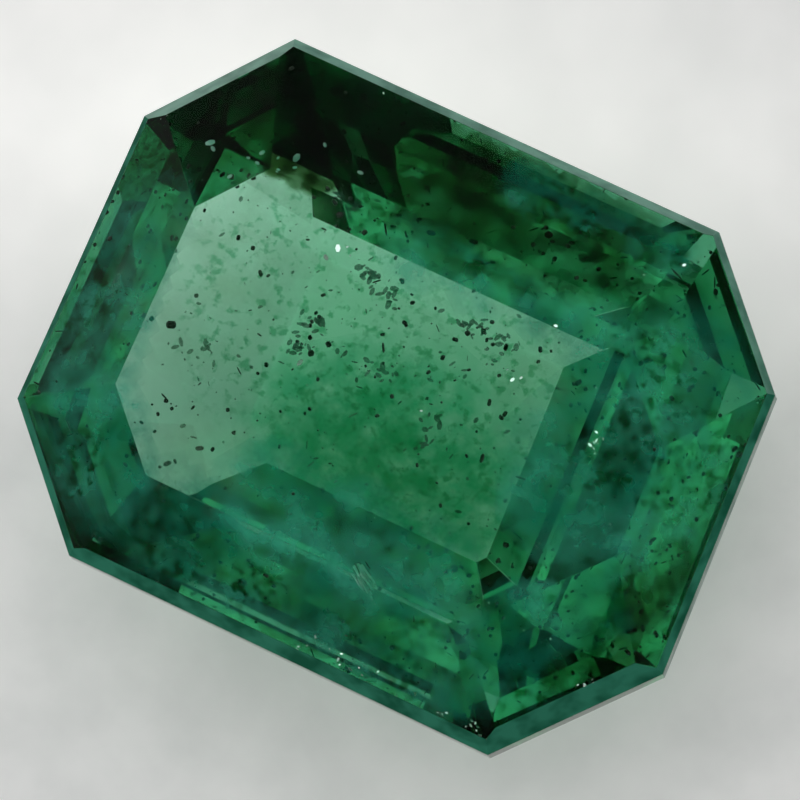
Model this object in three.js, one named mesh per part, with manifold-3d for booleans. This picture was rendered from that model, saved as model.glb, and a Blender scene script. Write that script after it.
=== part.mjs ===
// A loose cut emerald: a step-cut octagon with a flat table, standing on the flat culet under it.
// Millimetres, +Z up. The long axis lies along X and the culet is at Z = 0.
import * as THREE from "three";
import { mergeVertices } from "three/addons/utils/BufferGeometryUtils.js";
import Module from "manifold-3d";

const wasm = await Module();
wasm.setup();

// Heights of the stone's levels above the culet
const GIRDLE_BOTTOM = 2.2;
const GIRDLE_TOP = 2.5;
const TABLE_HEIGHT = 3.4;

// Slope in degrees of the narrow step that runs round the crown just above the girdle
const STRIP_SLOPE = 60;

// The rough block and the cutting block
const ROUGH_WIDTH = 12;
const CUTTER_SIZE = 30;

// The eight sides, in order round the stone from +X. Each has the direction it faces in degrees,
// the distance of its girdle from the axis, the width of its outer crown step, the distance of
// its table edge from the axis, and the slope and width of each pavilion step below its girdle.
const SIDES = [
  {
    facing: 3.4,
    girdle: 3.99,
    strip: 0.08,
    table: 3.11,
    pavilion: [
      { slope: 46, width: 1.0 },
      { slope: 39, width: 0.88 },
      { slope: 34.5, width: 0.66 },
    ],
  },
  {
    facing: 44,
    girdle: 4.07,
    strip: 0.08,
    table: 2.66,
    pavilion: [
      { slope: 52, width: 1.1 },
      { slope: 42, width: 0.6 },
      { slope: 27, width: 0.5 },
    ],
  },
  {
    facing: 90,
    girdle: 3.26,
    strip: 0.11,
    table: 1.7,
    pavilion: [
      { slope: 53, width: 0.95 },
      { slope: 43.5, width: 0.72 },
      { slope: 36, width: 0.35 },
    ],
  },
  {
    facing: 142,
    girdle: 4.27,
    strip: 0.16,
    table: 2.88,
    pavilion: [
      { slope: 52, width: 0.9 },
      { slope: 43.5, width: 1.2 },
    ],
  },
  {
    facing: 181.4,
    girdle: 4.02,
    strip: 0.08,
    table: 2.9,
    pavilion: [
      { slope: 50, width: 0.8 },
      { slope: 39, width: 1.5 },
    ],
  },
  {
    facing: 223.8,
    girdle: 4.13,
    strip: 0.09,
    table: 2.95,
    pavilion: [
      { slope: 50, width: 1.0 },
      { slope: 38, width: 0.75 },
      { slope: 33, width: 0.65 },
    ],
  },
  {
    facing: 269.4,
    girdle: 3.23,
    strip: 0.14,
    table: 2.09,
    pavilion: [
      { slope: 54, width: 0.7 },
      { slope: 46, width: 0.64 },
      { slope: 40, width: 0.7 },
    ],
  },
  {
    facing: 319.8,
    girdle: 4.15,
    strip: 0.2,
    table: 2.83,
    pavilion: [
      { slope: 50, width: 1.0 },
      { slope: 41, width: 0.8 },
      { slope: 34, width: 0.5 },
    ],
  },
];

const radians = THREE.MathUtils.degToRad;
const degrees = THREE.MathUtils.radToDeg;

// A closed geometry as a solid for boolean work
function solidOf(geometry) {
  const bare = geometry.clone();
  bare.deleteAttribute("normal");
  bare.deleteAttribute("uv");
  const merged = mergeVertices(bare, 1e-5);
  const mesh = new wasm.Mesh({
    numProp: 3,
    vertProperties: merged.attributes.position.array,
    triVerts: new Uint32Array(merged.index.array),
  });
  return new wasm.Manifold(mesh);
}

// A solid as a geometry with flat facets
function geometryOf(solid) {
  const mesh = solid.getMesh();
  const indexed = new THREE.BufferGeometry();
  indexed.setAttribute("position", new THREE.BufferAttribute(mesh.vertProperties, 3));
  indexed.setIndex(new THREE.BufferAttribute(mesh.triVerts, 1));
  const flat = indexed.toNonIndexed();
  flat.computeVertexNormals();
  return flat;
}

// Grinds one facet: takes off all that lies outside a plane of the given slope, which passes the
// given distance from the axis at the given height. A downward facet belongs to the pavilion.
function grind(stone, facing, slope, distance, height, downward) {
  const turn = radians(facing);
  const lean = radians(slope);
  const up = downward ? -Math.cos(lean) : Math.cos(lean);
  const outward = new THREE.Vector3(
    Math.cos(turn) * Math.sin(lean),
    Math.sin(turn) * Math.sin(lean),
    up,
  );
  const point = new THREE.Vector3(Math.cos(turn) * distance, Math.sin(turn) * distance, height);
  const cutter = new THREE.BoxGeometry(CUTTER_SIZE, CUTTER_SIZE, CUTTER_SIZE);
  cutter.translate(0, 0, CUTTER_SIZE / 2);
  cutter.applyQuaternion(
    new THREE.Quaternion().setFromUnitVectors(new THREE.Vector3(0, 0, 1), outward),
  );
  cutter.translate(point.x, point.y, point.z);
  return stone.subtract(solidOf(cutter));
}

// The rough: its top becomes the table and its underside the culet
const rough = new THREE.BoxGeometry(ROUGH_WIDTH, ROUGH_WIDTH, TABLE_HEIGHT);
rough.translate(0, 0, TABLE_HEIGHT / 2);
let stone = solidOf(rough);

// The girdle: an upright face on every side
for (const side of SIDES) {
  stone = grind(stone, side.facing, 90, side.girdle, GIRDLE_TOP, false);
}

// The crown: a narrow steep step above the girdle, then a broad facet up to the table
for (const side of SIDES) {
  const stripTop = GIRDLE_TOP + side.strip * Math.tan(radians(STRIP_SLOPE));
  const stripEdge = side.girdle - side.strip;
  const crownSlope = degrees(Math.atan2(TABLE_HEIGHT - stripTop, stripEdge - side.table));
  stone = grind(stone, side.facing, STRIP_SLOPE, side.girdle, GIRDLE_TOP, false);
  stone = grind(stone, side.facing, crownSlope, stripEdge, stripTop, false);
}

// The pavilion: steps that flatten towards the culet
for (const side of SIDES) {
  let distance = side.girdle;
  let height = GIRDLE_BOTTOM;
  for (const step of side.pavilion) {
    stone = grind(stone, side.facing, step.slope, distance, height, true);
    distance -= step.width;
    height -= step.width * Math.tan(radians(step.slope));
  }
}

// The origin goes under the middle of the stone, on the culet
const geometry = geometryOf(stone);
geometry.computeBoundingBox();
const middle = geometry.boundingBox.getCenter(new THREE.Vector3());
geometry.translate(-middle.x, -middle.y, 0);

const emeraldGreen = new THREE.MeshStandardMaterial({
  color: new THREE.Color(0.02, 0.3, 0.15),
  roughness: 0.05,
  metalness: 0,
});
const emerald = new THREE.Mesh(geometry, emeraldGreen);
emerald.name = "emerald";

const part = new THREE.Group();
part.name = "cut_emerald";
part.add(emerald);

export default part;
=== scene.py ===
# %% [markdown]
# # A cut emerald
# The stone is a step-cut octagon: a broad flat table on top, narrow and broad facets round it, a
# stepped pavilion below, and a flat culet that it stands on. The shape is already cut as a solid.
# This lesson gives it what a real emerald has beyond its facets: worn edges, a frosted girdle,
# clear green depth, and the garden of crystals, flakes and veils that grew inside it.

# %% Load the cut stone as the frame
import math
import bpy
import numpy as np
from mathutils import Matrix, Vector


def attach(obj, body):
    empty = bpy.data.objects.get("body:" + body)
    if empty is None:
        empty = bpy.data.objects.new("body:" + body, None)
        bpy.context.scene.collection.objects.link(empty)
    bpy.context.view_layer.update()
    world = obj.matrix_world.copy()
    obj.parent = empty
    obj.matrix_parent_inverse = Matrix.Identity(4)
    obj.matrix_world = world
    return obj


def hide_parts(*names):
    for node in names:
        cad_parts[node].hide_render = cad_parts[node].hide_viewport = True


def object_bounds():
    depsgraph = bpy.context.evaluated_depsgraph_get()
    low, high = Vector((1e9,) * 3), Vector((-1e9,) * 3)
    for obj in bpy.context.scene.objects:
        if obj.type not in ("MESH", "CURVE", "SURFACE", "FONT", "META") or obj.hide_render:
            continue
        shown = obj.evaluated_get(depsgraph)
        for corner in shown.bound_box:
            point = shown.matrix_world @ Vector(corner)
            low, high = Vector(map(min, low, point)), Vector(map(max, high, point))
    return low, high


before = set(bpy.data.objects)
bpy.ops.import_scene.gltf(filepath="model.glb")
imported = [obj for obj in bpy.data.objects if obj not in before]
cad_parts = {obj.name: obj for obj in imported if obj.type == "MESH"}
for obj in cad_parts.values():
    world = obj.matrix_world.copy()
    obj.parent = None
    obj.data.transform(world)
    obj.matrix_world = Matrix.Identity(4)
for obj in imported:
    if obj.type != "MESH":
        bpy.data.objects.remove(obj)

MM = 0.001
cad_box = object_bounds()
print("stone, mm:", [round(v, 2) for v in (cad_box[1] - cad_box[0]) / MM])

# %% [markdown]
# ## The camera
# The stone is seen from nearly straight above, leaning about ten degrees towards its right-hand and
# near sides. That lean matters: through a clear stone it decides which pavilion facets mirror and
# which let the eye through. A long lens keeps the view almost parallel. The camera's axes are built
# from the stone's own long axis, which runs down to the right in the picture.

# %% The camera
LOOK_AZIMUTH = math.radians(60)
LOOK_ELEVATION = math.radians(80)
LONG_AXIS_TURN = math.radians(24.7)
VIEW_WIDTH = 9.11 * MM
CAMERA_DISTANCE = 150 * MM
SENSOR = 36
GIRDLE_HEIGHT = 2.45 * MM

back = Vector((math.sin(LOOK_AZIMUTH) * math.cos(LOOK_ELEVATION),
               -math.cos(LOOK_AZIMUTH) * math.cos(LOOK_ELEVATION),
               math.sin(LOOK_ELEVATION)))
along = (Vector((1, 0, 0)) - back * back.x).normalized()
across = back.cross(along)
right = along * math.cos(LONG_AXIS_TURN) + across * math.sin(LONG_AXIS_TURN)
up = across * math.cos(LONG_AXIS_TURN) - along * math.sin(LONG_AXIS_TURN)
target = Vector((0, 0, GIRDLE_HEIGHT))

bpy.ops.object.select_all(action="DESELECT")
bpy.ops.object.camera_add()
camera = bpy.context.object
camera.matrix_world = Matrix.Translation(target + back * CAMERA_DISTANCE) @ Matrix(
    (right, up, back)).transposed().to_4x4()
camera.data.sensor_width = SENSOR
camera.data.lens = SENSOR * CAMERA_DISTANCE / VIEW_WIDTH
camera.data.clip_start = 10 * MM
bpy.context.scene.camera = camera
print("lens, mm:", round(camera.data.lens))

# %% [markdown]
# ## The stone itself
# A cut stone is never razor sharp: handling rounds each facet edge by a hair, and that hair catches
# the light. A Bevel modifier would round every edge, but only the crown is rubbed by handling. So a
# copy of the solid, whose mesh is loose triangles, is merged first, its flat triangles are dissolved
# back into whole facets, and only the edges of the crown get a tiny bevel in edit mode.

# %% Copy the solid and round its edges
EDGE_WEAR = 0.014 * MM
CROWN_FROM = 2.4 * MM
MERGE_WITHIN = 0.0005 * MM
FLAT_WITHIN = math.radians(0.3)

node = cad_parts["emerald"]
stone = bpy.data.objects.new("emerald_stone", node.data.copy())
bpy.context.scene.collection.objects.link(stone)
bpy.ops.object.select_all(action="DESELECT")
stone.select_set(True)
bpy.context.view_layer.objects.active = stone
bpy.ops.object.mode_set(mode="EDIT")
bpy.ops.mesh.select_all(action="SELECT")
bpy.ops.mesh.remove_doubles(threshold=MERGE_WITHIN)
bpy.ops.mesh.dissolve_limited(angle_limit=FLAT_WITHIN)
bpy.ops.object.mode_set(mode="OBJECT")
print("facets:", len(stone.data.polygons), "edges:", len(stone.data.edges))

facet_normals = np.array([p.normal for p in stone.data.polygons])
facet_points = np.array([p.center for p in stone.data.polygons])

for edge in stone.data.edges:
    edge.select = all(stone.data.vertices[v].co.z > CROWN_FROM for v in edge.vertices)
bpy.ops.object.mode_set(mode="EDIT")
bpy.ops.mesh.select_mode(type="EDGE")
bpy.ops.mesh.bevel(offset=EDGE_WEAR, segments=2, affect="EDGES", clamp_overlap=True)
bpy.ops.object.mode_set(mode="OBJECT")
print("faces with worn edges:", len(stone.data.polygons))

# %% [markdown]
# ## Emerald green
# Beryl bends light by an index of about 1.58 and swallows red first and blue next, so a thin part
# looks pale and a long path looks deep green. Plain transmission with plain absorption does just
# that. The facets are polished smooth. The narrow step above the girdle is rubbed dull, with painted
# light and shade: paler on the far sides as painted light, and darker and without shine on the near
# ones as painted shade. The girdle itself is frosted on the right. A low specular tint keeps the table
# from mirroring the room as a grey film, as a dark lens close above the stone does.

# %% Helpers for node materials
def new_material(name):
    """A material made of nodes."""
    material = bpy.data.materials.new(name)
    material.use_nodes = True
    return material


def shader_of(material):
    """A material's main shader."""
    return material.node_tree.nodes["Principled BSDF"]


def noise(tree, scale_per_mm, detail):
    """A noise texture on Object coordinates, with its scale given per millimetre."""
    coords = tree.nodes.new("ShaderNodeTexCoord")
    texture = tree.nodes.new("ShaderNodeTexNoise")
    texture.inputs["Scale"].default_value = scale_per_mm / MM
    texture.inputs["Detail"].default_value = detail
    tree.links.new(coords.outputs["Object"], texture.inputs["Vector"])
    return texture.outputs["Fac"]


def ramp(tree, source, low, high, stops):
    """A colour that runs from low to high as the source goes from the first stop to the second."""
    mix = tree.nodes.new("ShaderNodeValToRGB")
    mix.color_ramp.elements[0].position = stops[0]
    mix.color_ramp.elements[1].position = stops[1]
    mix.color_ramp.elements[0].color = (*low, 1)
    mix.color_ramp.elements[1].color = (*high, 1)
    tree.links.new(source, mix.inputs["Fac"])
    return mix.outputs["Color"]


def grained_colour(material, scale_per_mm, detail, low, high, stops):
    """Gives a material a base colour that varies with a noise."""
    tree = material.node_tree
    grain = noise(tree, scale_per_mm, detail)
    tree.links.new(ramp(tree, grain, low, high, stops), shader_of(material).inputs["Base Color"])


# %% The facets and the girdle
EMERALD_INDEX = 1.58
ABSORPTION_COLOUR = (0.0, 0.65, 0.38, 1)
ABSORPTION_PER_METRE = 410
LOW_TINT = (0.05, 0.05, 0.05, 1)


def emerald_finish(name, transmission, roughness, shine, low, high):
    """Clear green stone with its own polish and shine, and a surface tint between two colours."""
    material = new_material(name)
    grained_colour(material, 3, 2, low, high, (0.35, 0.6))
    shader = shader_of(material)
    shader.inputs["Transmission Weight"].default_value = transmission
    shader.inputs["IOR"].default_value = EMERALD_INDEX
    shader.inputs["Roughness"].default_value = roughness
    shader.inputs["Specular IOR Level"].default_value = shine
    shader.inputs["Specular Tint"].default_value = LOW_TINT
    tree = material.node_tree
    depth = tree.nodes.new("ShaderNodeVolumeAbsorption")
    depth.inputs["Color"].default_value = ABSORPTION_COLOUR
    depth.inputs["Density"].default_value = ABSORPTION_PER_METRE
    tree.links.new(depth.outputs["Volume"], tree.nodes["Material Output"].inputs["Volume"])
    return material


# How a face is told by its normal
UPRIGHT = 0.05
FACES_RIGHT = 0.9
FACES_AWAY = 0.3
STEP_RISE = (0.44, 0.56)
PAINTED_LIGHT_STEP, PAINTED_SHADE_STEP, FROSTED = 1, 2, 3

stone.data.materials.clear()
# The rubbed step comes in a lit and a shaded copy: the far one is paler as painted light, the near one
# darker and without shine as painted shade.
for finish in (
    emerald_finish("polished_facet", 1, 0, 0.5, (0.95, 1, 0.97), (1, 1, 1)),
    emerald_finish("rubbed_painted_light_step", 0.3, 0.3, 0.5, (0.03, 0.2, 0.13), (0.14, 0.4, 0.29)),
    emerald_finish("rubbed_painted_shade_step", 0.1, 0.3, 0, (0.008, 0.1, 0.055), (0.03, 0.21, 0.13)),
    emerald_finish("frosted_girdle", 0.4, 0.5, 0.5, (0.2, 0.32, 0.27), (0.5, 0.6, 0.55)),
):
    stone.data.materials.append(finish)
# Steps that face away get the painted light and near steps the painted shade. The girdle face that
# points right is frosted.
for face in stone.data.polygons:
    if STEP_RISE[0] < face.normal.z < STEP_RISE[1]:
        face.material_index = PAINTED_LIGHT_STEP if face.normal.y > FACES_AWAY else PAINTED_SHADE_STEP
    elif abs(face.normal.z) < UPRIGHT and face.normal.x > FACES_RIGHT:
        face.material_index = FROSTED
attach(stone, "root")
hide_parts("emerald")
print("frosted faces:", sum(f.material_index == FROSTED for f in stone.data.polygons))

# %% [markdown]
# ## Where things sit inside the stone
# What floats inside a gem is seen through its facets, so it appears shifted. It could be pushed about
# until it looks right. Instead a sight line is bent at the facet it enters by, as light is, and
# followed down to the crystal's depth, so that a place read off a picture can be used as it is.

# %% Helpers for placing what grew inside
along_axis = np.array(along)
across_axis = np.array(across)
sight = -np.array(back)
middle = np.array(target)
MARGIN = 0.05 * MM
DRAWS_PER_POINT = 6
dice = np.random.default_rng(11)


def depth_inside(points):
    """How far inside the nearest facet each point lies, in metres. Negative is outside."""
    reach = np.einsum("pfk,fk->pf", points[:, None, :] - facet_points[None], facet_normals)
    return -reach.max(axis=1)


def seen_at(x, y, depth):
    """The point at a depth in the stone that shows x along and y across it, all in millimetres."""
    start = middle + along_axis * x * MM + across_axis * y * MM
    facing = facet_normals @ sight
    entering = facing < -1e-6
    travel = np.einsum("fk,fk->f", facet_points - start, facet_normals)[entering] / facing[entering]
    first = travel.argmax()
    normal = facet_normals[entering][first]
    ratio = 1 / EMERALD_INDEX
    cosine = -normal @ sight
    turn = ratio * cosine - math.sqrt(1 - ratio ** 2 * (1 - cosine ** 2))
    return start + sight * travel[first] + (ratio * sight + turn * normal) * depth * MM


def random_points(count, margin):
    """Random points that lie at least a margin inside the stone."""
    low, high = np.array(cad_box[0]), np.array(cad_box[1])
    points = dice.uniform(low, high, (count * DRAWS_PER_POINT, 3))
    return points[depth_inside(points) > margin][:count]


def random_directions(count):
    """Unit vectors spread evenly over the sphere."""
    directions = dice.normal(size=(count, 3))
    return directions / np.linalg.norm(directions, axis=1)[:, None]


def in_the_picture(turn, lean):
    """A direction that shows at a turn from the long axis, and leans towards the eye."""
    angle = math.radians(turn)
    return along_axis * math.cos(angle) + across_axis * math.sin(angle) - sight * lean


def place(point, direction, size):
    """A matrix that sizes a model in millimetres, rolls it at random, aims it and moves it."""
    aim = Vector(direction).to_track_quat("Z", "Y").to_matrix().to_4x4()
    roll = Matrix.Rotation(dice.uniform(0, math.tau), 4, "Z")
    sized = Matrix.Diagonal((*size, 1)) @ Matrix.Scale(MM, 4)
    return Matrix.Translation(Vector(point)) @ aim @ roll @ sized


def joined_copies(name, model, places, material):
    """One piece made of many copies of a model, each with its own matrix. The model is used up."""
    corners = np.array([(*v.co, 1) for v in model.data.vertices])
    faces = [list(p.vertices) for p in model.data.polygons]
    verts = np.concatenate([(corners @ np.array(spot).T)[:, :3] for spot in places])
    count = len(corners)
    polygons = [[i + k * count for i in face] for k in range(len(places)) for face in faces]
    mesh = bpy.data.meshes.new(name)
    mesh.from_pydata(verts.tolist(), [], polygons)
    mesh.materials.append(material)
    piece = bpy.data.objects.new(name, mesh)
    bpy.context.scene.collection.objects.link(piece)
    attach(piece, "root")
    bpy.data.objects.remove(model)
    print(name, "copies:", len(places), "faces:", len(polygons))


# %% [markdown]
# ## Dark crystals
# The black specks are tiny crystals of other minerals, caught while the beryl grew. Round grains would
# be quicker, but flat faces are what make them glint. So one six-sided crystal with narrowed ends is
# extruded from a cylinder once, and copied in many sizes: stubby grains and needles.

# %% Model one crystal
CAP_RISE = 0.9
bpy.ops.object.select_all(action="DESELECT")
bpy.ops.mesh.primitive_cylinder_add(vertices=6, radius=0.5, depth=0.6)
crystal = bpy.context.object
bpy.ops.object.mode_set(mode="EDIT")
bpy.ops.mesh.select_mode(type="FACE")
bpy.ops.mesh.select_all(action="DESELECT")
bpy.ops.object.mode_set(mode="OBJECT")
for face in crystal.data.polygons:
    face.select = abs(face.normal.z) > CAP_RISE
bpy.ops.object.mode_set(mode="EDIT")
bpy.ops.mesh.extrude_faces_move()
bpy.ops.transform.resize(value=(0.45, 0.35, 1.6))
bpy.ops.object.mode_set(mode="OBJECT")
print("crystal faces:", len(crystal.data.polygons))

# %% [markdown]
# ## The crystals that stand out
# A few dozen crystals are large enough to be told apart, so these are placed one by one. A row for
# each is easier to correct than a random draw that happens to look right.

# %% The crystals that stand out
# Each row gives where a crystal shows along and across the stone, its depth, width and length in
# millimetres, and its turn in degrees.
MAIN_CRYSTALS = [
    (-2.72, -0.31, 0.35, 0.10, 0.17, 20),
    (-2.95, -0.34, 0.40, 0.06, 0.09, 70),
    (-3.18, -0.38, 0.30, 0.05, 0.08, 0),
    (-1.14, 0.06, 0.50, 0.08, 0.11, 40),
    (-2.44, 0.91, 0.40, 0.05, 0.10, 110),
    (-2.24, 0.87, 0.40, 0.06, 0.07, 10),
    (-1.61, 1.73, 0.20, 0.07, 0.12, 150),
    (-1.75, 1.84, 0.20, 0.06, 0.10, 160),
    (-1.50, 1.62, 0.20, 0.08, 0.13, 20),
    (-1.16, 1.56, 0.25, 0.06, 0.10, 60),
    (0.24, 0.64, 0.80, 0.07, 0.09, 90),
    (-0.42, 0.46, 0.60, 0.03, 0.17, 120),
    (-0.10, 0.00, 0.60, 0.05, 0.08, 130),
    (-0.16, -0.27, 0.50, 0.06, 0.08, 35),
    (1.12, -0.21, 0.50, 0.05, 0.16, 100),
    (1.61, -0.23, 0.40, 0.04, 0.18, 5),
    (-2.10, -1.76, 0.70, 0.06, 0.14, 50),
    (-2.03, -1.70, 0.70, 0.04, 0.09, 140),
    (-2.16, -1.83, 0.60, 0.05, 0.06, 0),
    (-1.84, -1.45, 0.80, 0.08, 0.14, 30),
    (-1.70, -1.40, 0.80, 0.06, 0.08, 80),
    (-2.41, -1.12, 0.50, 0.05, 0.08, 15),
    (-2.10, -1.06, 0.50, 0.04, 0.09, 75),
    (-1.73, -0.92, 0.60, 0.05, 0.07, 120),
    (0.75, 2.41, 0.30, 0.10, 0.14, 60),
    (0.82, 2.36, 0.35, 0.06, 0.09, 20),
    (0.69, 2.47, 0.30, 0.06, 0.08, 100),
    (0.35, 2.32, 0.30, 0.06, 0.08, 0),
    (-0.47, 1.87, 0.30, 0.09, 0.15, 10),
    (-0.66, 1.95, 0.30, 0.06, 0.10, 40),
    (-3.78, 0.29, 0.20, 0.07, 0.09, 90),
    (1.86, 0.99, 0.50, 0.05, 0.07, 30),
    (1.86, 0.81, 0.50, 0.05, 0.07, 150),
    (0.58, 1.24, 0.60, 0.05, 0.08, 10),
    (0.38, 1.01, 0.60, 0.07, 0.09, 60),
    (0.61, 1.03, 0.60, 0.05, 0.08, 110),
    (1.09, -2.59, 0.40, 0.06, 0.09, 80),
    (3.49, -1.26, 0.30, 0.08, 0.12, 25),
    (2.26, 2.61, 0.12, 0.03, 0.24, 160),
    (-0.76, -2.63, 0.50, 0.12, 0.15, 0),
    (-2.44, -2.86, 0.40, 0.06, 0.07, 50),
]
crystal_places = []
for x, y, depth, width, length, turn in MAIN_CRYSTALS:
    lie = in_the_picture(turn, dice.uniform(-0.3, 0.3))
    crystal_places.append(place(seen_at(x, y, depth), lie, (width, width * 0.7, length * 0.7)))
print("crystals placed by hand:", len(crystal_places))

# %% [markdown]
# ## The finer specks and needles
# Between them the stone is dusted with specks too fine to tell apart. They are spread at random from
# a fixed seed, most of them tiny, so the stone comes out the same at every run.

# %% The finer specks and needles
SPECKS = 430
NEEDLES = 45


def dark_mineral():
    """Black to dark olive mineral with a dull shine."""
    material = new_material("dark_mineral")
    grained_colour(material, 9, 3, (0.002, 0.006, 0.002), (0.01, 0.03, 0.012), (0.4, 0.65))
    shader_of(material).inputs["Roughness"].default_value = 0.45
    return material


for point, direction in zip(random_points(SPECKS, MARGIN), random_directions(SPECKS)):
    width = 0.014 + 0.05 * dice.random() ** 3
    length = width * dice.uniform(0.8, 1.6)
    crystal_places.append(place(point, direction, (width, width * 0.8, length)))
for point, direction in zip(random_points(NEEDLES, 2 * MARGIN), random_directions(NEEDLES)):
    width = dice.uniform(0.010, 0.022)
    crystal_places.append(place(point, direction, (width, width, dice.uniform(0.06, 0.16))))
joined_copies("dark_crystals", crystal, crystal_places, dark_mineral())

# %% [markdown]
# ## Flakes
# Healed cracks hold flat films of liquid. Face on to a lamp they flash white, and the others look
# like thin green scales. A flat card would vanish when seen edge on, so a flake is a thin six-sided
# plate with chamfered edges. It is used in three finishes.

# %% Model one flake
def flake_model():
    """A thin six-sided plate, one unit across."""
    bpy.ops.object.select_all(action="DESELECT")
    bpy.ops.mesh.primitive_cylinder_add(vertices=6, radius=0.5, depth=0.1)
    bpy.ops.object.mode_set(mode="EDIT")
    bpy.ops.mesh.select_all(action="SELECT")
    bpy.ops.mesh.bevel(offset=0.035, segments=1, affect="EDGES")
    bpy.ops.object.mode_set(mode="OBJECT")
    return bpy.context.object


# %% [markdown]
# ## The white flakes
# The flakes that flash lie nearly face on to the eye, and mirror the light above. The larger ones are
# placed one by one, rows of fine glints follow the rim, and the rest is loose dust.

# %% The white flakes
# Each row gives where a flake shows along and across the stone, its depth and its width.
MAIN_FLAKES = [
    (-1.36, 1.27, 0.2, 0.11),
    (-1.44, 1.12, 0.2, 0.09),
    (-1.27, 1.33, 0.3, 0.04),
    (-1.20, 1.25, 0.3, 0.03),
    (1.25, 1.50, 0.2, 0.06),
    (1.06, 0.74, 0.4, 0.07),
    (1.14, 0.80, 0.4, 0.05),
    (0.96, 0.82, 0.4, 0.04),
    (2.35, 2.80, 0.1, 0.08),
    (2.29, 2.74, 0.1, 0.06),
    (2.42, 2.84, 0.1, 0.05),
    (2.39, 2.71, 0.1, 0.05),
    (2.83, 1.16, 0.3, 0.05),
    (2.46, -3.11, 0.1, 0.05),
    (0.27, -0.01, 0.5, 0.04),
    (-3.46, -0.30, 0.2, 0.04),
    (2.25, 0.56, 0.5, 0.07),
    (2.20, 0.48, 0.5, 0.05),
    (-1.21, -0.09, 0.4, 0.10),
]
# Each row gives where a line of glints starts and ends, and how many there are.
GLINT_LINES = [
    ((0.1, -2.96), (2.4, -3.04), 46),
    ((3.2, -2.1), (3.5, -2.0), 12),
    ((2.2, 0.62), (2.26, 0.4), 10),
]
LOOSE_FLAKES = 160
FLAKE_TILT = 0.25
GLINT_TILT = 0.35
GLINT_SCATTER = 0.05


def white_film():
    """Pale film that mirrors the light."""
    material = new_material("white_film")
    grained_colour(material, 5, 3, (0.8, 1, 0.93), (1, 1, 1), (0.4, 0.6))
    shader_of(material).inputs["Metallic"].default_value = 1
    shader_of(material).inputs["Roughness"].default_value = 0.2
    return material


white_places = []
for x, y, depth, width in MAIN_FLAKES:
    direction = -sight + random_directions(1)[0] * FLAKE_TILT
    white_places.append(place(seen_at(x, y, depth), direction, (width, width * 0.6, width)))
for start, end, count in GLINT_LINES:
    for share in dice.random(count):
        x, y = np.array(start) + share * np.subtract(end, start) + dice.normal(0, GLINT_SCATTER, 2)
        spot = seen_at(x, y, dice.uniform(0.08, 0.3))
        if depth_inside(spot[None])[0] > 0.3 * MARGIN:
            width = dice.uniform(0.02, 0.07)
            direction = -sight + random_directions(1)[0] * GLINT_TILT
            white_places.append(place(spot, direction, (width, width * 0.5, width)))
for point, direction in zip(random_points(LOOSE_FLAKES, MARGIN), random_directions(LOOSE_FLAKES)):
    width = 0.008 + 0.035 * dice.random() ** 3
    white_places.append(place(point, direction, (width, width * dice.uniform(0.4, 1), width)))
joined_copies("white_flakes", flake_model(), white_places, white_film())

# %% [markdown]
# ## The feather
# One young crack shows as a pale feather of fine streaks. A single sheet would look like glass, and
# the streaks are what is seen. So one long thin barb is made from a cone, drawn out to a blade, and
# many are laid side by side in a narrow fan.

# %% Model the feather
FEATHER_BARBS = 24
FEATHER_START = (0.28, -1.9)
FEATHER_TURN = -38
FEATHER_SPREAD = 6


def feather_film():
    """Pale sea-green film, partly clear."""
    material = new_material("feather_film")
    grained_colour(material, 5, 3, (0.2, 0.7, 0.52), (0.6, 0.95, 0.85), (0.4, 0.6))
    shader_of(material).inputs["Roughness"].default_value = 0.4
    shader_of(material).inputs["Alpha"].default_value = 0.7
    return material


bpy.ops.object.select_all(action="DESELECT")
bpy.ops.mesh.primitive_cone_add(vertices=4, radius1=0.5, depth=1)
barb = bpy.context.object
bpy.ops.object.mode_set(mode="EDIT")
bpy.ops.mesh.select_all(action="SELECT")
bpy.ops.transform.resize(value=(1, 0.3, 1))
bpy.ops.mesh.subdivide(number_cuts=1)
bpy.ops.object.mode_set(mode="OBJECT")
barb_places = []
for share in dice.random(FEATHER_BARBS):
    heading = FEATHER_TURN + dice.normal(0, FEATHER_SPREAD)
    reach = 0.1 + 0.4 * share
    x = FEATHER_START[0] + reach * math.cos(math.radians(heading))
    y = FEATHER_START[1] + reach * math.sin(math.radians(heading))
    lie = in_the_picture(heading, dice.uniform(-0.2, 0.2))
    size = (0.04, 0.03, dice.uniform(0.12, 0.3))
    barb_places.append(place(seen_at(x, y, 0.3 + 0.1 * share), lie, size))
sea_film = feather_film()
joined_copies("feather", barb, barb_places, sea_film)

# %% [markdown]
# ## The teal flakes
# In the dark corner above the window a few flakes of the same sea-green film catch the light. They
# are the flake again, placed one by one just under the facets.

# %% The teal flakes
# Each row gives where a flake of the same film shows in the dark corner, its depth and its width.
CORNER_FLAKES = [
    (-3.19, 1.76, 0.12, 0.13),
    (-3.13, 1.71, 0.12, 0.09),
    (-2.72, 1.78, 0.12, 0.06),
    (-2.60, 1.77, 0.12, 0.07),
    (-2.60, 1.90, 0.12, 0.09),
    (-2.41, 1.92, 0.12, 0.05),
    (-2.22, 2.01, 0.12, 0.14),
    (-2.19, 1.90, 0.12, 0.06),
    (-1.99, 2.28, 0.12, 0.07),
    (-1.49, 2.16, 0.12, 0.08),
    (-2.82, 1.50, 0.12, 0.08),
    (-2.35, 1.80, 0.12, 0.05),
]
CORNER_TILT = 0.5
teal_places = []
for x, y, depth, width in CORNER_FLAKES:
    direction = -sight + random_directions(1)[0] * CORNER_TILT
    teal_places.append(place(seen_at(x, y, depth), direction, (width, width * 0.6, width)))
joined_copies("teal_flakes", flake_model(), teal_places, sea_film)

# %% [markdown]
# ## The green flakes
# Flakes that mirror nothing bright show as thin green scales, in patches and singly. They are half
# clear, so that a patch reads as a soft cluster.

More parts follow.
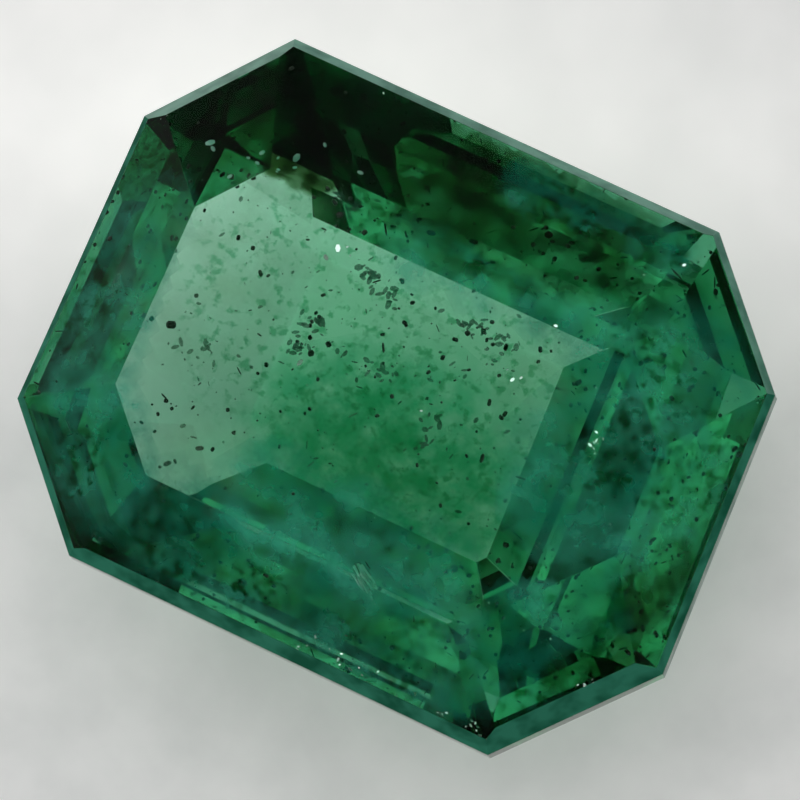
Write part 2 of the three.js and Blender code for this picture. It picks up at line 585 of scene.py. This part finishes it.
# %% The green flakes
# Each row gives where a patch of flakes shows along and across the stone, its depth and its spread.
FLAKE_PATCHES = [
    (-1.22, 0.34, 0.7, 0.16),
    (-0.97, 1.15, 0.5, 0.10),
    (-0.54, 1.03, 0.6, 0.16),
    (0.38, 1.08, 0.7, 0.12),
    (0.82, 1.09, 0.6, 0.14),
    (-1.28, 0.06, 0.8, 0.10),
    (-1.40, 1.75, 0.3, 0.18),
    (-2.30, -0.40, 0.8, 0.14),
    (-0.30, 0.20, 1.0, 0.22),
    (0.55, -0.10, 0.9, 0.20),
]
PATCH_FLAKES = 14
PATCH_TILT = 0.5
SPREAD_FLAKES = 260


def green_film():
    """Green film, half clear."""
    material = new_material("green_film")
    grained_colour(material, 3, 3, (0.01, 0.10, 0.05), (0.05, 0.26, 0.17), (0.4, 0.62))
    shader_of(material).inputs["Roughness"].default_value = 0.3
    shader_of(material).inputs["Alpha"].default_value = 0.48
    return material


green_places = []
for x, y, depth, spread in FLAKE_PATCHES:
    for jump in dice.normal(0, spread, (PATCH_FLAKES, 2)):
        width = dice.uniform(0.04, 0.13)
        spot = seen_at(x + jump[0], y + 0.5 * jump[1], depth + dice.uniform(-0.1, 0.1))
        direction = -sight + random_directions(1)[0] * PATCH_TILT
        green_places.append(place(spot, direction, (width, width * dice.uniform(0.3, 0.7), width)))
for point, direction in zip(random_points(SPREAD_FLAKES, MARGIN), random_directions(SPREAD_FLAKES)):
    width = 0.02 + 0.09 * dice.random() ** 2
    green_places.append(place(point, direction, (width, width * dice.uniform(0.3, 0.8), width)))
joined_copies("green_flakes", flake_model(), green_places, green_film())

# %% [markdown]
# ## Veils
# The soft stains of the garden are veils: thin wavy sheets of fine matter that fade out at their
# rims. A cloud of grains would need millions of them, so each veil is one grid, rippled by a
# Displace modifier, trimmed to the stone, and made see-through by a noise. How much of it shows is
# kept on its points as an attribute, which falls to nothing at the rim and near a facet.

# %% Model a veil
VEIL_CELLS = 18
RIPPLE_DEPTH = 0.35 * MM
FACET_FADE = 0.16 * MM
RIM_FADE = 2.5
ripple = bpy.data.textures.new("ripple", "CLOUDS")
ripple.noise_scale = 0.7 * MM


def veil(centre, facing, width):
    """A rippled sheet inside the stone, about a point, that faces a direction. Sizes in metres."""
    bpy.ops.object.select_all(action="DESELECT")
    bpy.ops.mesh.primitive_grid_add(x_subdivisions=VEIL_CELLS, y_subdivisions=VEIL_CELLS, size=width)
    sheet = bpy.context.object
    sheet.matrix_world = place(centre, facing, (1 / MM, 1 / MM, 1 / MM))
    wave = sheet.modifiers.new("wave", "DISPLACE")
    wave.texture = ripple
    wave.texture_coords = "GLOBAL"
    wave.strength = RIPPLE_DEPTH
    bpy.ops.object.modifier_apply(modifier="wave")
    bpy.ops.object.transform_apply()
    points = np.array([v.co for v in sheet.data.vertices])
    depth = depth_inside(points)
    from_middle = np.linalg.norm(points - centre, axis=1) / (width / 2)
    rim = np.clip(RIM_FADE - RIM_FADE * from_middle, 0, 1)
    fade = rim * np.clip((depth - MARGIN) / FACET_FADE, 0, 1)
    shown = sheet.data.attributes.new("shown", "FLOAT", "POINT")
    shown.data.foreach_set("value", fade.astype(np.float32))
    bpy.ops.object.mode_set(mode="EDIT")
    bpy.ops.mesh.select_mode(type="VERT")
    bpy.ops.mesh.select_all(action="DESELECT")
    bpy.ops.object.mode_set(mode="OBJECT")
    sheet.data.vertices.foreach_set("select", (depth < MARGIN) | (from_middle > 1))
    bpy.ops.object.mode_set(mode="EDIT")
    bpy.ops.mesh.delete(type="VERT")
    bpy.ops.object.mode_set(mode="OBJECT")
    return sheet


def joined_veils(name, sheets, material):
    """Joins sheets into one piece with one finish."""
    bpy.ops.object.select_all(action="DESELECT")
    for sheet in sheets:
        sheet.select_set(True)
    bpy.context.view_layer.objects.active = sheets[0]
    bpy.ops.object.join()
    piece = bpy.context.object
    piece.name = name
    piece.data.materials.append(material)
    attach(piece, "root")
    print(name, "sheets:", len(sheets), "faces:", len(piece.data.polygons))


# %% [markdown]
# ## Two finishes for veils
# A stain takes colour out of the light that passes, and a haze throws light back. So the first is a
# tinted Transparent shader, and the second a dull one that is only partly there.

# %% Stains and hazes
BLOTCH_DETAIL = 4


def share_shown(tree, blotch_per_mm, stops, strength):
    """How much a veil shows: soft blotches with a clear ground, faded where the veil fades."""
    blotches = noise(tree, blotch_per_mm, BLOTCH_DETAIL)
    shown = tree.nodes.new("ShaderNodeAttribute")
    shown.attribute_name = "shown"
    share = tree.nodes.new("ShaderNodeMath")
    share.operation = "MULTIPLY"
    tree.links.new(ramp(tree, blotches, (0, 0, 0), (strength,) * 3, stops), share.inputs[0])
    tree.links.new(shown.outputs["Fac"], share.inputs[1])
    return share.outputs["Value"]


def stain(name, colour, blotch_per_mm, stops):
    """A clear film that takes a colour out of the light in blotches."""
    material = new_material(name)
    tree = material.node_tree
    tint = tree.nodes.new("ShaderNodeMix")
    tint.data_type = "RGBA"
    tree.links.new(share_shown(tree, blotch_per_mm, stops, 1), tint.inputs["Factor"])
    tint.inputs["A"].default_value = (1, 1, 1, 1)
    tint.inputs["B"].default_value = (*colour, 1)
    film = tree.nodes.new("ShaderNodeBsdfTransparent")
    tree.links.new(tint.outputs["Result"], film.inputs["Color"])
    tree.links.new(film.outputs["BSDF"], tree.nodes["Material Output"].inputs["Surface"])
    tree.nodes.remove(shader_of(material))
    return material


def haze(name, low, high, blotch_per_mm, stops, strength):
    """A thin haze that scatters light."""
    material = new_material(name)
    grained_colour(material, 1.3, 1, low, high, (0.4, 0.62))
    shader = shader_of(material)
    shader.inputs["Roughness"].default_value = 0.9
    shader.inputs["Specular IOR Level"].default_value = 0
    share = share_shown(material.node_tree, blotch_per_mm, stops, strength)
    material.node_tree.links.new(share, shader.inputs["Alpha"])
    return material


# %% [markdown]
# ## The veils that can be told apart
# Moss and dust lie in dark blotches, green stains lie in broad ones, and milky and teal hazes
# soften what lies below them. Broad olive veils are painted shade over the top crown, doubled at its
# near-black left end, and at the lower right end they are partly an olive stain and partly painted
# shade. Each is placed where it shows and lies along the facet above it, as such veils follow the
# growth of the crystal.

# %% The veils that can be told apart
VEIL_TILT = 0.1
# Each row gives where a veil shows along and across the stone, its depth and its width.
MOSS_SPOTS = [
    (3.4, 0.6, 0.2, 1.7),
    (3.2, -2.1, 0.2, 1.5),
    (2.3, 1.5, 0.2, 1.7),
    (1.9, 2.5, 0.2, 1.5),
    (0.8, 2.6, 0.2, 1.7),
    (-0.6, 2.6, 0.2, 1.7),
    (-3.5, 1.2, 0.2, 1.5),
    (-3.8, -0.4, 0.2, 1.5),
    (-3.1, -2.3, 0.2, 1.5),
    (-1.7, -2.6, 0.2, 1.6),
    (-0.2, -2.7, 0.2, 1.6),
    (1.3, -2.8, 0.2, 1.6),
    (2.4, 0.4, 0.2, 1.5),
    (3.5, -0.9, 0.2, 1.4),
    (-0.78, -2.66, 0.18, 0.6),
    (-2.42, -2.85, 0.18, 0.6),
    (-1.63, -2.73, 0.18, 0.6),
    (0.54, -2.55, 0.18, 0.5),
    (2.75, -2.45, 0.18, 0.9),
]
# Painted shade: olive veils darken the top crown, twice over at its near-black left end. At the lower
# right end they are partly an olive stain and partly painted shade.
OLIVE_AND_PAINTED_SHADE_SPOTS = [
    (-1.9, 2.6, 0.15, 2.2),
    (-2.5, 2.55, 0.30, 2.0),
    (-1.0, 2.5, 0.25, 3.0),
    (-3.1, 2.1, 0.25, 1.8),
    (-2.36, 1.86, 0.2, 0.5),
    (-2.10, 1.86, 0.2, 0.55),
    (-1.84, 1.84, 0.2, 0.5),
    (-2.38, 1.93, 0.28, 0.5),
    (-2.12, 1.92, 0.28, 0.55),
    (-1.84, 1.89, 0.28, 0.5),
    (0.6, 2.45, 0.25, 3.2),
    (-0.5, 2.35, 0.2, 1.5),
    (3.35, -1.55, 0.2, 1.1),
    (3.1, -2.05, 0.18, 0.9),
    (3.45, -0.95, 0.2, 1.0),
    (3.6, -0.4, 0.2, 0.8),
]
GREEN_SPOTS = [
    (0.3, -0.7, 1.2, 3.4),
    (0.9, -0.8, 1.9, 2.6),
    (-0.5, -0.7, 2.4, 2.6),
]
DUST_SPOTS = [
    (-1.4, 0.5, 0.6, 3.6),
    (0.6, 0.2, 0.8, 3.6),
]
MILKY_SPOTS = [
    (-2.6, 0.1, 0.6, 2.2),
    (-2.0, 1.0, 0.8, 2.0),
    (-1.8, -1.6, 0.4, 1.5),
    (1.4, 0.6, 0.8, 1.2),
]
TEAL_SPOTS = [
    (-3.5, -0.2, 0.25, 3.2),
    (-2.9, -1.9, 0.25, 2.4),
    (-0.9, -2.5, 0.25, 3.2),
    (1.1, -2.5, 0.25, 3.2),
    (2.6, -1.8, 0.25, 2.2),
    (3.4, 0.0, 0.25, 2.8),
    (2.9, 1.7, 0.25, 2.0),
    (-0.9, -1.65, 0.3, 1.6),
    (0.1, -1.65, 0.3, 1.6),
    (1.0, -1.7, 0.3, 1.6),
    (-0.5, 1.62, 0.2, 1.1),
    (0.3, 1.66, 0.2, 1.1),
    (1.1, 1.68, 0.2, 1.1),
    (1.8, 1.6, 0.25, 1.3),
    (0.4, 2.85, 0.22, 1.0),
    (1.2, 2.85, 0.22, 1.0),
    (2.0, 2.8, 0.22, 1.0),
    (0.2, -2.92, 0.2, 1.0),
    (1.0, -2.94, 0.2, 1.0),
    (1.8, -2.96, 0.2, 1.0),
    (2.45, 0.2, 0.35, 2.8),
    (2.1, -0.3, 0.3, 1.6),
    (-0.6, -2.95, 0.2, 1.0),
    (-1.4, -2.9, 0.2, 1.0),
]


def veils_at(spots):
    """Veils at places in the picture, each nearly in line with the facet that it lies under."""
    sheets = []
    for x, y, depth, width in spots:
        centre = seen_at(x, y, depth)
        nearest = np.einsum("fk,fk->f", centre - facet_points, facet_normals).argmax()
        facing = facet_normals[nearest] + random_directions(1)[0] * VEIL_TILT
        sheets.append(veil(centre, facing, width * MM))
    return sheets


moss_stain = stain("moss_stain", (0.2, 0.46, 0.28), 8, (0.5, 0.62))
joined_veils("mossy_veils", veils_at(MOSS_SPOTS), moss_stain)
dust_stain = stain("dust_stain", (0.4, 0.7, 0.55), 8, (0.54, 0.66))
joined_veils("dusty_veils", veils_at(DUST_SPOTS), dust_stain)
# An olive tint that is painted shade, and in part an olive stain.
olive_and_painted_shade_stain = stain("olive_and_painted_shade_stain", (0.26, 0.38, 0.2), 4.5, (0.12, 0.5))
joined_veils("olive_and_painted_shade_veils", veils_at(OLIVE_AND_PAINTED_SHADE_SPOTS), olive_and_painted_shade_stain)
green_stain = stain("green_stain", (0.3, 0.76, 0.6), 3.5, (0.3, 0.6))
joined_veils("green_veils", veils_at(GREEN_SPOTS), green_stain)
milk_haze = haze("milk_haze", (0.34, 0.56, 0.38), (0.66, 0.82, 0.62), 2.2, (0.35, 0.7), 0.3)
joined_veils("milky_veils", veils_at(MILKY_SPOTS), milk_haze)
teal_haze = haze("teal_haze", (0.015, 0.36, 0.25), (0.09, 0.6, 0.46), 3.5, (0.25, 0.62), 0.62)
joined_veils("teal_veils", veils_at(TEAL_SPOTS), teal_haze)

# %% [markdown]
# ## Paper and light
# The stone lies on white paper with a painted glow, as if lit from below on a gem viewer's table,
# so its window stays bright. Two large soft lamps stand beyond it. The room is dim and even, with one
# darker side at the stone's right end, which the facets at its upper left mirror as a deep shade.
# A lamp below would need thin paper and a gap, so the paper itself glows as painted light, strongest
# at a spot under the stone and fading round it.

# %% The floor
PAPER_SIZE = 400 * MM
PAPER_GAP = 0.02 * MM
# The glow is painted light: strongest at a spot under the stone and fainter over the rest of the
# paper.
PAPER_GLOW = 0.14
SPOT_GLOW = 0.48
SPOT_MIDDLE = (-2.4 * MM, 2.6 * MM, 0)
SPOT_TURN = math.radians(17)
SPOT_REACH = (10 * MM, 4.4 * MM, 1)
bpy.ops.object.select_all(action="DESELECT")
bpy.ops.mesh.primitive_plane_add(size=PAPER_SIZE, location=(0, 0, -PAPER_GAP))
floor = bpy.context.object
floor.name = "paper"


def white_paper():
    """White paper with faint grey clouds, and a painted glow as if lit through from below."""
    material = new_material("white_paper")
    grained_colour(material, 0.7, 8, (0.72, 0.73, 0.73), (0.84, 0.84, 0.84), (0.35, 0.65))
    nodes = material.node_tree.nodes
    links = material.node_tree.links
    shader = shader_of(material)
    shader.inputs["Roughness"].default_value = 0.9
    shader.inputs["Emission Color"].default_value = (1, 0.985, 0.94, 1)
    coords = nodes.new("ShaderNodeTexCoord")
    from_spot = nodes.new("ShaderNodeMapping")
    from_spot.vector_type = "TEXTURE"
    from_spot.inputs["Location"].default_value = SPOT_MIDDLE
    from_spot.inputs["Rotation"].default_value = (0, 0, SPOT_TURN)
    from_spot.inputs["Scale"].default_value = SPOT_REACH
    links.new(coords.outputs["Object"], from_spot.inputs["Vector"])
    away = nodes.new("ShaderNodeVectorMath")
    away.operation = "LENGTH"
    links.new(from_spot.outputs["Vector"], away.inputs[0])
    spot = nodes.new("ShaderNodeMapRange")
    spot.interpolation_type = "SMOOTHSTEP"
    spot.inputs["To Min"].default_value = SPOT_GLOW
    spot.inputs["To Max"].default_value = PAPER_GLOW
    links.new(away.outputs["Value"], spot.inputs["Value"])
    links.new(spot.outputs["Result"], shader.inputs["Emission Strength"])
    return material


floor.data.materials.append(white_paper())
print("paper, mm:", round(floor.dimensions.x / MM))

# %% [markdown]
# ## The lamps
# A small bright lamp would strike hard green flashes from the facets. Two wide, weak discs light the
# stone as soft boxes do.

# %% The lamps
# Each lamp has an azimuth from the long axis towards +Y and an elevation in degrees, and a power.
LAMPS = {"main_lamp": (155, 60, 0.24), "side_lamp": (75, 64, 0.14)}
LAMP_DISTANCE = 400 * MM
LAMP_WIDTH = 500 * MM


def sky_direction(azimuth, elevation):
    """A direction from the stone, with azimuth in degrees from its long axis towards +Y."""
    turn, rise = math.radians(azimuth), math.radians(elevation)
    return Vector((math.cos(turn) * math.cos(rise), math.sin(turn) * math.cos(rise), math.sin(rise)))


for name, (azimuth, elevation, power) in LAMPS.items():
    direction = sky_direction(azimuth, elevation)
    bpy.ops.object.select_all(action="DESELECT")
    bpy.ops.object.light_add(type="AREA")
    lamp = bpy.context.object
    lamp.name = name
    lamp.data.shape = "DISK"
    lamp.data.size = LAMP_WIDTH
    lamp.data.energy = power
    lamp.matrix_world = Matrix.Translation(direction * LAMP_DISTANCE) @ direction.to_track_quat(
        "Z", "Y").to_matrix().to_4x4()
    print(name, "at", azimuth, elevation)

# %% [markdown]
# ## The room
# What a gem shows is mostly what its facets mirror, so the room counts more than the lamps. It is an
# even white with one soft dark patch, drawn from the angle between a direction and the patch.

# %% The room
ROOM_LIGHT = 0.58
ROOM_SHADE = 0.05
SHADE_AZIMUTH, SHADE_ELEVATION = 0, 46
SHADE_EDGE, SHADE_MIDDLE = math.cos(math.radians(34)), math.cos(math.radians(14))

world = bpy.data.worlds.new("soft_room")
world.use_nodes = True
nodes = world.node_tree.nodes
links = world.node_tree.links
coords = nodes.new("ShaderNodeTexCoord")
nearness = nodes.new("ShaderNodeVectorMath")
nearness.operation = "DOT_PRODUCT"
nearness.inputs[1].default_value = sky_direction(SHADE_AZIMUTH, SHADE_ELEVATION)
links.new(coords.outputs["Generated"], nearness.inputs[0])
glow = nodes.new("ShaderNodeMapRange")
glow.interpolation_type = "SMOOTHSTEP"
glow.inputs["From Min"].default_value = SHADE_EDGE
glow.inputs["From Max"].default_value = SHADE_MIDDLE
glow.inputs["To Min"].default_value = ROOM_LIGHT
glow.inputs["To Max"].default_value = ROOM_SHADE
links.new(nearness.outputs["Value"], glow.inputs["Value"])
links.new(glow.outputs["Result"], nodes["Background"].inputs["Strength"])
nodes["Background"].inputs["Color"].default_value = (1, 1, 1, 1)

scene = bpy.context.scene
scene.world = world
scene.view_settings.view_transform = "Standard"
scene.cycles.blur_glossy = 0
scene.cycles.max_bounces = 20
scene.cycles.glossy_bounces = 14
scene.cycles.transmission_bounces = 16
scene.cycles.transparent_max_bounces = 64
print("room light:", ROOM_LIGHT, "darkest:", ROOM_SHADE)
